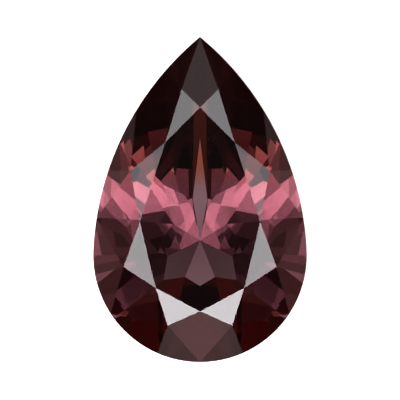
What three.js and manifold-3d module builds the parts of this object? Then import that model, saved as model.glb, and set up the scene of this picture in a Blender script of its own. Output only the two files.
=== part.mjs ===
// A loose pear-cut pink tourmaline at real size, in millimetres, +Z up.
//
// The stone is drawn in the cutter's frame: the table faces +Z, the point looks
// towards +Y, and the culet, the pavilion's lowest point, is the origin. It is
// then laid on one of its large lower girdle facets, as a loose pear lies.

import * as THREE from 'three';
import { mergeVertices } from 'three/addons/utils/BufferGeometryUtils.js';
import Module from 'manifold-3d';

// Outline, seen from above: one arc for the round end and one long arc for each
// side. The long arcs run smoothly out of the round end and meet at the point.
const ROUND_RADIUS = 4.97;
const ROUND_CENTRE_Y = -0.7;
const SIDE_RADIUS = 13.73;
const JOIN_BEARING = 2.72;
const ARC_SEGMENTS = 24;

const PAVILION_DEPTH = 4.172;
const GIRDLE_THICKNESS = 0.472;
const CROWN_HEIGHT = 1.589;

// Corners of the table and outer corners of the star facets: the right half, in
// plan, from the point down to the round end. The two stars at each end lie in
// the plane of the end's main, so only the middle ones need a height of their own,
// a share of the crown's height.
const TABLE_CORNERS = [[0, 6.17], [1.61, 4.55], [2.79, 0.85], [2.05, -2.21], [0, -3.29]];
const STAR_CORNERS = [[0.85, 7.01], [3.23, 3.24], [3.55, -1.23], [1.5, -3.95]];
const MIDDLE_STAR_RISES = [0.666, 0.78];

// Places on the girdle, by the bearing of the outline there, in degrees from +X
// towards +Y: where the mains end, and where two girdle facets meet between them.
const CROWN_MAIN_ENDS = [31.5, 8.9, -33.2];
const UPPER_GIRDLE_JOINTS = [41, 18.5, -10.4, -66.4];
const PAVILION_MAIN_ENDS = [25.1, 8.6, -35.9];
const LOWER_GIRDLE_JOINTS = [49.1, 9.1, -5.7, -71.5];

// Pavilion mains from the point to the round end: bearing and slope in degrees.
// Each pair of neighbours runs side by side from the culet for the given reach.
const PAVILION_MAINS = [[90, 22.63], [22.52, 37.3], [7.32, 39.4], [-31.86, 34.42], [-90, 30.87]];
const MAIN_REACHES = [1.95, 1.47, 1.69, 1.85];

const STONE_COLOUR = 0x9c4456;
const POLISH_ROUGHNESS = 0.03;

const GIRDLE_BOTTOM = PAVILION_DEPTH;
const GIRDLE_TOP = GIRDLE_BOTTOM + GIRDLE_THICKNESS;
const TABLE_LEVEL = GIRDLE_TOP + CROWN_HEIGHT;
const STONE_CORE = new THREE.Vector3(0, 0, GIRDLE_BOTTOM);

const radians = THREE.MathUtils.degToRad;
const mirrored = (p) => new THREE.Vector3(-p.x, p.y, p.z);
const at = ([x, y], z) => new THREE.Vector3(x, y, z);

const roundCentre = new THREE.Vector2(0, ROUND_CENTRE_Y);
const sideCentre = bearingVector(JOIN_BEARING)
  .multiplyScalar(ROUND_RADIUS - SIDE_RADIUS)
  .add(roundCentre);
const POINT_BEARING = THREE.MathUtils.radToDeg(Math.acos(-sideCentre.x / SIDE_RADIUS));

function bearingVector(bearing) {
  return new THREE.Vector2(Math.cos(radians(bearing)), Math.sin(radians(bearing)));
}

// The outline's right half, at the place where its outward normal has this bearing.
function outlinePoint(bearing) {
  const onRoundEnd = bearing < JOIN_BEARING;
  const centre = onRoundEnd ? roundCentre : sideCentre;
  const radius = onRoundEnd ? ROUND_RADIUS : SIDE_RADIUS;
  return bearingVector(bearing).multiplyScalar(radius).add(centre);
}

function girdlePoint(bearing, level) {
  const { x, y } = outlinePoint(bearing);
  return new THREE.Vector3(x, y, level);
}

function outlineShape() {
  const join = radians(JOIN_BEARING);
  const tip = radians(POINT_BEARING);
  return new THREE.Shape()
    .absarc(sideCentre.x, sideCentre.y, SIDE_RADIUS, join, tip, false)
    .absarc(-sideCentre.x, sideCentre.y, SIDE_RADIUS, Math.PI - tip, Math.PI - join, false)
    .absarc(0, ROUND_CENTRE_Y, ROUND_RADIUS, Math.PI - join, 2 * Math.PI + join, false);
}

// The plane through three points, facing out of the stone.
function facetPlane(a, b, c) {
  const plane = new THREE.Plane().setFromCoplanarPoints(a, b, c);
  return plane.distanceToPoint(STONE_CORE) > 0 ? plane.negate() : plane;
}

function middleOf(a, b, c) {
  return new THREE.Triangle(a, b, c).getMidpoint(new THREE.Vector3());
}

function heightOn(plane, x, y) {
  return -(plane.constant + plane.normal.x * x + plane.normal.y * y) / plane.normal.z;
}

function onPlane(plane, { x, y }) {
  return new THREE.Vector3(x, y, heightOn(plane, x, y));
}

// A facet on the right side and its mirror image on the left.
function facetPair(name, a, b, c) {
  return [
    { name: `${name}_right`, plane: facetPlane(a, b, c), middle: middleOf(a, b, c) },
    { name: `${name}_left`, plane: facetPlane(mirrored(a), mirrored(b), mirrored(c)) },
  ];
}

function starCorners(table) {
  const tip = outlinePoint(POINT_BEARING).y;
  const heel = outlinePoint(-90).y;
  const endRise = (end, k, corner) =>
    (end - STAR_CORNERS[k][1]) / (end - table[corner].y);
  const rises = [endRise(tip, 0, 0), ...MIDDLE_STAR_RISES, endRise(heel, 3, 4)];
  return STAR_CORNERS.map((corner, k) => at(corner, GIRDLE_TOP + rises[k] * CROWN_HEIGHT));
}

function crownFacets() {
  const table = TABLE_CORNERS.map((corner) => at(corner, TABLE_LEVEL));
  const stars = starCorners(table);
  const mains = [
    facetPlane(table[0], stars[0], mirrored(stars[0])),
    facetPlane(table[1], stars[0], stars[1]),
    facetPlane(table[2], stars[1], stars[2]),
    facetPlane(table[3], stars[2], stars[3]),
    facetPlane(table[4], stars[3], mirrored(stars[3])),
  ];
  const ends = [POINT_BEARING, ...CROWN_MAIN_ENDS, -90].map(
    (bearing, k) => onPlane(mains[k], outlinePoint(bearing)),
  );
  const facets = [
    { name: 'table', plane: facetPlane(table[0], table[1], mirrored(table[1])) },
    { name: 'crown_main_point', plane: mains[0] },
    { name: 'crown_main_round', plane: mains[4] },
    ...facetPair('crown_main_1', table[1], stars[0], stars[1]),
    ...facetPair('crown_main_2', table[2], stars[1], stars[2]),
    ...facetPair('crown_main_3', table[3], stars[2], stars[3]),
  ];
  stars.forEach((star, k) => {
    const joint = girdlePoint(UPPER_GIRDLE_JOINTS[k], GIRDLE_TOP);
    facets.push(
      ...facetPair(`star_${k}`, table[k], table[k + 1], star),
      ...facetPair(`upper_girdle_${k}a`, ends[k], joint, star),
      ...facetPair(`upper_girdle_${k}b`, joint, ends[k + 1], star),
    );
  });
  return facets;
}

// A pavilion main climbs from the culet towards its bearing.
function pavilionMain([bearing, slope]) {
  const { x, y } = bearingVector(bearing).multiplyScalar(Math.sin(radians(slope)));
  const normal = new THREE.Vector3(x, y, -Math.cos(radians(slope)));
  return new THREE.Plane(normal, 0);
}

// The place where two neighbouring mains part, at this reach from the culet.
function partingPoint(main, next, reach) {
  const edge = new THREE.Vector3().crossVectors(main.normal, next.normal);
  edge.multiplyScalar(Math.sign(edge.z) * reach / Math.hypot(edge.x, edge.y));
  return edge;
}

function mirroredPlane({ normal, constant }) {
  return new THREE.Plane(mirrored(normal), constant);
}

function pavilionFacets() {
  const mains = PAVILION_MAINS.map(pavilionMain);
  const ends = [POINT_BEARING, ...PAVILION_MAIN_ENDS, -90].map(
    (bearing) => girdlePoint(bearing, GIRDLE_BOTTOM),
  );
  const facets = mains.flatMap((plane, k) => [
    { name: `pavilion_main_${k}_right`, plane },
    { name: `pavilion_main_${k}_left`, plane: mirroredPlane(plane) },
  ]);
  MAIN_REACHES.forEach((reach, k) => {
    const joint = girdlePoint(LOWER_GIRDLE_JOINTS[k], GIRDLE_BOTTOM);
    const parting = partingPoint(mains[k], mains[k + 1], reach);
    facets.push(
      ...facetPair(`lower_girdle_${k}a`, ends[k], joint, parting),
      ...facetPair(`lower_girdle_${k}b`, joint, ends[k + 1], parting),
    );
  });
  return facets;
}

function toSolid(wasm, geometry) {
  const positions = new THREE.BufferGeometry();
  positions.setAttribute('position', geometry.getAttribute('position'));
  const merged = mergeVertices(positions);
  return new wasm.Manifold(
    new wasm.Mesh({
      numProp: 3,
      vertProperties: merged.getAttribute('position').array,
      triVerts: merged.index.array,
    }),
  );
}

function toGeometry(solid) {
  const { vertProperties, triVerts } = solid.getMesh();
  const indexed = new THREE.BufferGeometry();
  indexed.setAttribute('position', new THREE.BufferAttribute(vertProperties, 3));
  indexed.setIndex(new THREE.BufferAttribute(triVerts, 1));
  const faceted = indexed.toNonIndexed();
  faceted.computeVertexNormals();
  return faceted;
}

// The pear-shaped blank, ground flat along one facet after another.
function cutStone(wasm, facets) {
  const blank = new THREE.ExtrudeGeometry(outlineShape(), {
    depth: TABLE_LEVEL,
    bevelEnabled: false,
    curveSegments: ARC_SEGMENTS,
  });
  const stone = facets.reduce((solid, { plane }) => {
    const inward = plane.normal.clone().negate();
    return solid.trimByPlane(inward.toArray(), plane.constant);
  }, toSolid(wasm, blank));
  return toGeometry(stone);
}

const wasm = await Module();
wasm.setup();

const facets = [...crownFacets(), ...pavilionFacets()];
const tourmaline = new THREE.Mesh(
  cutStone(wasm, facets),
  new THREE.MeshStandardMaterial({ color: STONE_COLOUR, roughness: POLISH_ROUGHNESS }),
);
tourmaline.name = 'tourmaline';

// Lay the stone on the facet: its outward normal turns straight down, and its middle
// becomes the origin.
const restingFacet = facets.find(({ name }) => name === 'lower_girdle_1a_right');
const lyingStone = new THREE.Group();
const down = new THREE.Vector3(0, 0, -1);
lyingStone.quaternion.setFromUnitVectors(restingFacet.plane.normal, down);
lyingStone.position.copy(restingFacet.middle).applyQuaternion(lyingStone.quaternion).negate();
lyingStone.add(tourmaline);

export default lyingStone;
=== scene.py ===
"""Studio scene for a loose pear-cut pink tourmaline, seen straight down onto its table."""

import math

import bpy
from mathutils import Matrix, Vector


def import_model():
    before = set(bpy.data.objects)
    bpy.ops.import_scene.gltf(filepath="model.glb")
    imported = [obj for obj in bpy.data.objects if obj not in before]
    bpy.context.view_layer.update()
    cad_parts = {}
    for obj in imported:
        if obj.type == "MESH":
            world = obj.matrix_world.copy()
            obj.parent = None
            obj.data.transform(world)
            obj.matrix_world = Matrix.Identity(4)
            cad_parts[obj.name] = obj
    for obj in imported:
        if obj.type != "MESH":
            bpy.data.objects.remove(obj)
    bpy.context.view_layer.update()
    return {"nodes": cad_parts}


# The stone's own directions in the row frame: out of the table, and towards the point.
TABLE_NORMAL = Vector((0.631950, 0.194413, 0.750228))
POINT_DIRECTION = Vector((-0.070196, 0.978405, -0.194413))
CULET = Vector((-0.00434836, -0.00250889, 0.00011313))

# The photograph's frame: its width at the girdle in metres, and its middle from the
# culet, towards the point and towards the table.
FRAME_WIDTH = 0.018605
FRAME_MIDDLE_ALONG = 0.001874
GIRDLE_HEIGHT = 0.0044
CAMERA_DISTANCE = 0.6
SENSOR_WIDTH = 36.0
CLIP_RANGE = (0.01, 10.0)

REFRACTIVE_INDEX = 1.652
ABSORPTION_COLOUR = (0.341, 0.053, 0.121)
ABSORPTION_DENSITY = 340.0

# Noise patterns: how fine they are, and how many finer layers they have.
ZONE_NOISE = (260.0, 2.0)
POLISH_NOISE = (900.0, 3.0)
GRIND_NOISE = (14000.0, 2.0)
MOTTLING_NOISE = (30.0, 3.0)

# Tint of light that crosses the surface: none over most of the stone, and brown towards
# the point. The change runs between these two distances from the culet.
BODY_TINT = (1.0, 1.0, 1.0)
POINT_TINT = (1.0, 0.45, 0.25)
ZONE_FADE = (0.002, 0.0036)
ZONE_WOBBLE = 0.0005

# Cosines of the angle between a face's normal and the table's: the girdle's faces are
# below the first, and all facets are above the second.
GIRDLE_LEANS = (0.02, 0.06)
FACET_ROUGHNESS = 0.012
GIRDLE_ROUGHNESS = 0.3
GRIND_DEPTH = 0.00001
GRIND_STRENGTH = 0.4

FLOOR_SIZE = 2.0
FLOOR_LEVEL = -0.0001
FLOOR_SHADES = (0.88, 0.9)
FLOOR_ROUGHNESS = 0.9
FLOOR_GLOW = 0.75
MOTTLING_RANGE = (0.3, 0.7)
WHITE = (1.0, 1.0, 1.0)

# Soft lights around the stone: degrees from the table's normal, degrees of turn from
# the stone's right side, and brightness. Each one off the stone's middle line has a twin
# on the left. The rose ones stand for dim light from warm surfaces in the room, and the
# rest of the room glows faintly red. All are fitted to what the photographed stone
# shows of its surroundings.
LIGHT_SHARPNESS = 60.0
WHITE_COLOUR = (1.0, 0.97, 1.0)
ROSE_COLOUR = (1.0, 0.35, 0.35)
ROOM_COLOUR = (1.0, 0.12, 0.1)
ROOM_GLOW = 0.045
WHITE_LIGHTS = [
    (24, 0, 3.7), (32, -22, 0.48), (32, 0, 4.0), (32, 90, 0.75), (40, -90, 16.0), (40, -72, 0.66),
    (40, -54, 10.8), (40, -36, 2.5), (40, -18, 1.5), (40, 36, 4.3), (48, -57, 1.2), (48, 25, 2.2),
    (48, 74, 0.92), (78, -90, 1.2), (88, 13, 0.45), (165, -90, 0.61), (165, -30, 0.06),
    (150, -90, 0.29), (150, 18, 0.14), (150, 90, 0.47), (135, 0, 0.99), (135, 30, 0.23),
    (135, 90, 0.76), (120, 90, 0.76), (100, 90, 1.2),
]
ROSE_LIGHTS = [
    (66, -90, 0.63), (66, 57, 0.94), (66, 90, 1.6), (78, -90, 0.29), (78, -70, 0.25),
    (78, -10, 1.6), (78, 10, 0.24), (78, 50, 0.57), (88, -90, 0.2), (88, 13, 0.57), (100, 90, 0.23),
]

STONE_BOUNCES = 24
GLOSSY_BOUNCES = 12
TRANSPARENT_BOUNCES = 16


def stone_axes():
    """The stone's sideways, lengthwise and table directions."""
    up = TABLE_NORMAL.normalized()
    along = (POINT_DIRECTION - up * POINT_DIRECTION.dot(up)).normalized()
    return along.cross(up), along, up


def new_material(name):
    """An empty material and its node tree."""
    material = bpy.data.materials.new(name)
    material.use_nodes = True
    material.node_tree.nodes.clear()
    return material, material.node_tree


def opaque(colour):
    return (*colour, 1.0)


def feed(tree, socket, value):
    """Links an output to the socket, or sets its value."""
    if isinstance(value, bpy.types.NodeSocket):
        tree.links.new(value, socket)
    else:
        socket.default_value = value


def add_node(tree, kind, settings=None, **inputs):
    """A node with some of its settings and inputs set, or linked."""
    node = tree.nodes.new(kind)
    for name, value in (settings or {}).items():
        setattr(node, name, value)
    for name, value in inputs.items():
        feed(tree, node.inputs[name.replace("_", " ")], value)
    return node


def feed_in_order(tree, node, values):
    for socket, value in zip(node.inputs, values):
        feed(tree, socket, value)


def math_node(tree, operation, *values):
    node = add_node(tree, "ShaderNodeMath", {"operation": operation})
    feed_in_order(tree, node, values)
    return node.outputs["Value"]


def dot_with(tree, vector, direction):
    """How far a vector reaches along a direction."""
    node = add_node(tree, "ShaderNodeVectorMath", {"operation": "DOT_PRODUCT"})
    feed_in_order(tree, node, (vector, direction))
    return node.outputs["Value"]


def blend_between(tree, value, low, high, from_value, to_value):
    """Runs from one value to another as the input goes from low to high, and stays there."""
    node = add_node(
        tree,
        "ShaderNodeMapRange",
        {"interpolation_type": "SMOOTHSTEP"},
        Value=value,
        From_Min=low,
        From_Max=high,
        To_Min=from_value,
        To_Max=to_value,
    )
    return node.outputs["Result"]


def noise(tree, place, pattern):
    scale, detail = pattern
    node = add_node(tree, "ShaderNodeTexNoise", Vector=place, Scale=scale, Detail=detail)
    return node.outputs["Fac"]


def body_tint(tree, place):
    """Colour zoning: clear for most of the crystal, brown towards the stone's point."""
    _, along, _ = stone_axes()
    from_culet = math_node(tree, "SUBTRACT", dot_with(tree, place, along), CULET.dot(along))
    cloud = noise(tree, place, ZONE_NOISE)
    wobble = math_node(tree, "MULTIPLY_ADD", cloud, ZONE_WOBBLE, -ZONE_WOBBLE / 2)
    share = blend_between(tree, math_node(tree, "ADD", from_culet, wobble), *ZONE_FADE, 0.0, 1.0)
    tint = add_node(
        tree,
        "ShaderNodeMix",
        {"data_type": "RGBA"},
        Factor=share,
        A=opaque(BODY_TINT),
        B=opaque(POINT_TINT),
    )
    return tint.outputs["Result"]


def girdle_share(tree):
    """One on the thin girdle, whose faces stand square to the table, and zero on the facets."""
    normal = tree.nodes.new("ShaderNodeNewGeometry").outputs["True Normal"]
    lean = math_node(tree, "ABSOLUTE", dot_with(tree, normal, TABLE_NORMAL))
    return blend_between(tree, lean, *GIRDLE_LEANS, 1.0, 0.0)


def tourmaline_material():
    """Clear dark pink crystal, with polished facets and a finely ground girdle."""
    material, tree = new_material("pink_tourmaline")
    place = tree.nodes.new("ShaderNodeTexCoord").outputs["Object"]
    girdle = girdle_share(tree)
    polish_marks = math_node(tree, "MULTIPLY", noise(tree, place, POLISH_NOISE), FACET_ROUGHNESS)
    roughness = math_node(tree, "MULTIPLY_ADD", girdle, GIRDLE_ROUGHNESS, polish_marks)
    grind = add_node(
        tree,
        "ShaderNodeBump",
        Strength=GRIND_STRENGTH,
        Distance=GRIND_DEPTH,
        Height=math_node(tree, "MULTIPLY", noise(tree, place, GRIND_NOISE), girdle),
    )
    shader = add_node(
        tree,
        "ShaderNodeBsdfPrincipled",
        IOR=REFRACTIVE_INDEX,
        Transmission_Weight=1.0,
        Roughness=roughness,
        Normal=grind.outputs["Normal"],
        Base_Color=body_tint(tree, place),
    )
    crystal = add_node(
        tree,
        "ShaderNodeVolumeAbsorption",
        Color=opaque(ABSORPTION_COLOUR),
        Density=ABSORPTION_DENSITY,
    )
    add_node(
        tree,
        "ShaderNodeOutputMaterial",
        Surface=shader.outputs["BSDF"],
        Volume=crystal.outputs["Volume"],
    )
    return material


def floor_material():
    """A pale, evenly lit sheet with the faintest mottling."""
    material, tree = new_material("pale_floor")
    place = tree.nodes.new("ShaderNodeTexCoord").outputs["Object"]
    mottling = noise(tree, place, MOTTLING_NOISE)
    shader = add_node(
        tree,
        "ShaderNodeBsdfPrincipled",
        Roughness=FLOOR_ROUGHNESS,
        Base_Color=blend_between(tree, mottling, *MOTTLING_RANGE, *FLOOR_SHADES),
        Emission_Color=opaque(WHITE),
        Emission_Strength=FLOOR_GLOW,
    )
    add_node(tree, "ShaderNodeOutputMaterial", Surface=shader.outputs["BSDF"])
    return material


def add_floor():
    """The floor, which the stone neither mirrors nor shows through itself."""
    bpy.ops.mesh.primitive_plane_add(size=FLOOR_SIZE, location=(0, 0, FLOOR_LEVEL))
    floor = bpy.context.object
    floor.name = "floor"
    floor.data.materials.append(floor_material())
    floor.visible_transmission = False
    floor.visible_glossy = False


def add_camera():
    """A camera that looks straight down onto the table, with the stone's point up."""
    side, along, up = stone_axes()
    middle = CULET + up * GIRDLE_HEIGHT + along * FRAME_MIDDLE_ALONG
    data = bpy.data.cameras.new("camera")
    data.sensor_width = SENSOR_WIDTH
    data.lens = SENSOR_WIDTH * CAMERA_DISTANCE / FRAME_WIDTH
    data.clip_start, data.clip_end = CLIP_RANGE
    camera = bpy.data.objects.new("camera", data)
    axes = Matrix((side, along, up)).transposed()
    camera.matrix_world = Matrix.Translation(middle + up * CAMERA_DISTANCE) @ axes.to_4x4()
    bpy.context.scene.collection.objects.link(camera)
    bpy.context.scene.camera = camera


def stone_direction(tilt, turn):
    """A direction, tilted from the table's normal and turned from the stone's right side."""
    side, along, up = stone_axes()
    a, t = math.radians(turn), math.radians(tilt)
    return up * math.cos(t) + (side * math.cos(a) + along * math.sin(a)) * math.sin(t)


def soft_light(tree, view, tilt, turn, brightness):
    """The brightness of one soft light, which fades away around its middle."""
    nearness = dot_with(tree, view, stone_direction(tilt, turn))
    falloff = math_node(tree, "MULTIPLY_ADD", nearness, LIGHT_SHARPNESS, -LIGHT_SHARPNESS)
    return math_node(tree, "MULTIPLY", math_node(tree, "EXPONENT", falloff), brightness)


def brightness_of(tree, view, lights):
    """The brightness that all of these lights and their twins have together."""
    total = 0.0
    for tilt, turn, brightness in lights:
        on_middle_line = abs(turn) == 90
        for each in (turn,) if on_middle_line else (turn, 180 - turn):
            total = math_node(tree, "ADD", soft_light(tree, view, tilt, each, brightness), total)
    return total


def surroundings(tree, colour, strength):
    """Light of one colour from all round, this strong in each direction."""
    node = add_node(tree, "ShaderNodeBackground", Color=opaque(colour), Strength=strength)
    return node.outputs["Background"]


def set_world():
    """The room's faint glow, with the two groups of lights on top of it."""
    world = bpy.data.worlds.new("studio")
    world.use_nodes = True
    tree = world.node_tree
    tree.nodes.clear()
    view = tree.nodes.new("ShaderNodeTexCoord").outputs["Generated"]
    room = surroundings(tree, ROOM_COLOUR, ROOM_GLOW)
    for lights, colour in ((WHITE_LIGHTS, WHITE_COLOUR), (ROSE_LIGHTS, ROSE_COLOUR)):
        group = surroundings(tree, colour, brightness_of(tree, view, lights))
        both = tree.nodes.new("ShaderNodeAddShader")
        feed_in_order(tree, both, (room, group))
        room = both.outputs["Shader"]
    add_node(tree, "ShaderNodeOutputWorld", Surface=room)
    bpy.context.scene.world = world


def set_rendering():
    """Enough bounces for light that is caught between the facets, and plain colours."""
    cycles = bpy.context.scene.cycles
    cycles.max_bounces = STONE_BOUNCES
    cycles.transmission_bounces = STONE_BOUNCES
    cycles.glossy_bounces = GLOSSY_BOUNCES
    cycles.transparent_max_bounces = TRANSPARENT_BOUNCES
    # With its other inputs the denoiser keeps a fine grain on the facets.
    cycles.denoising_input_passes = "RGB"
    bpy.context.scene.view_settings.view_transform = "Standard"


def main():
    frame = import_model()
    gem = frame["nodes"]["tourmaline"]
    gem.data.materials.clear()
    gem.data.materials.append(tourmaline_material())
    add_floor()
    add_camera()
    set_world()
    set_rendering()


main()
